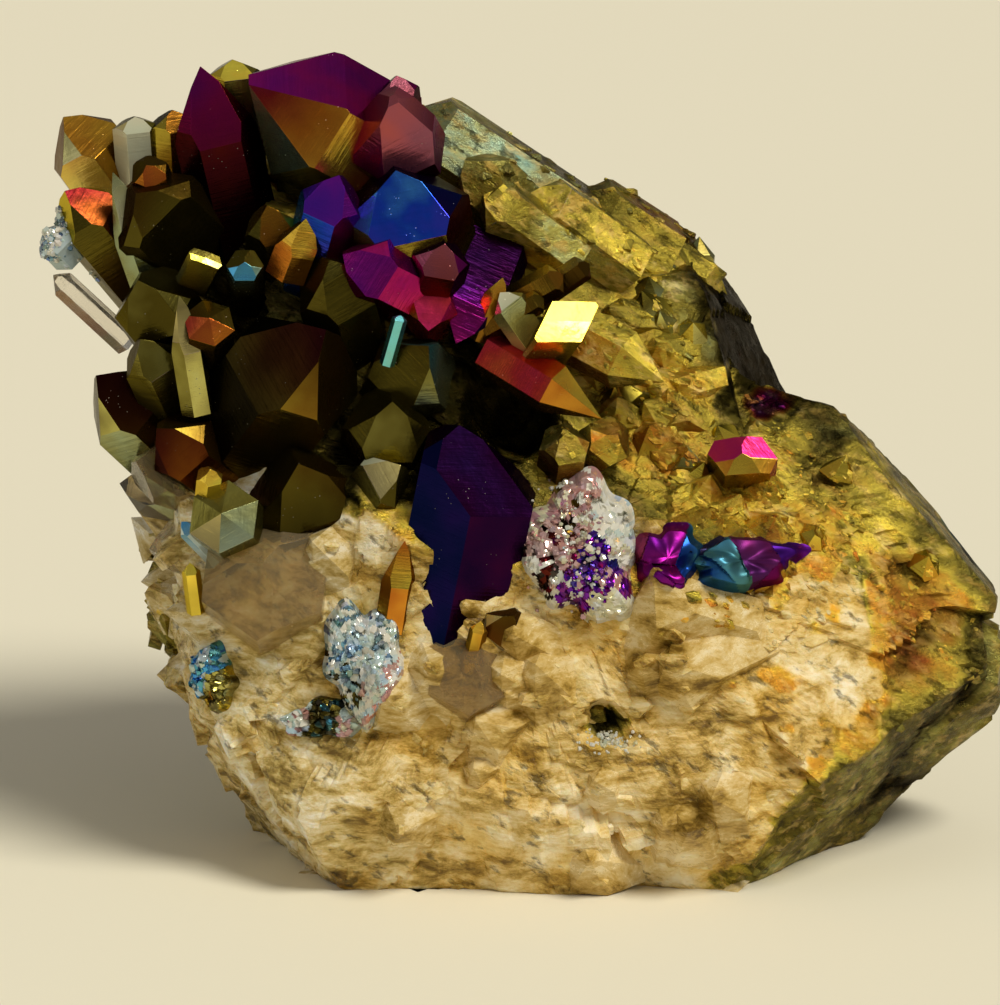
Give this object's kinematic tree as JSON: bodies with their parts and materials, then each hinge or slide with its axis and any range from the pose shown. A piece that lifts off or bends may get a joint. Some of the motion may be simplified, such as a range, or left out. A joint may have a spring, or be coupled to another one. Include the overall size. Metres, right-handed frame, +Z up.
{
  "type": "titanium aura quartz",
  "caption": "Palm-sized broken quartz mass with crystals grown on one side, coated in a rainbow metal film, cut flat below to stand.",
  "frame": {"origin": "centre of the bounding box's bottom face, on the flat base", "axes": "+Z up from the flat base, +X along the longest side, -Y out of the side that the large crystals grow on"},
  "size_m": [0.0713, 0.0493, 0.0586],
  "materials": {
    "coated_quartz": "quartz under a glossy iridescent metal film, violet, cobalt, gold, olive and bronze, with bare milky rock at the foot"
  },
  "bodies": {
    "root": {"quartz_cluster": "coated_quartz"}
  },
  "joints": []
}
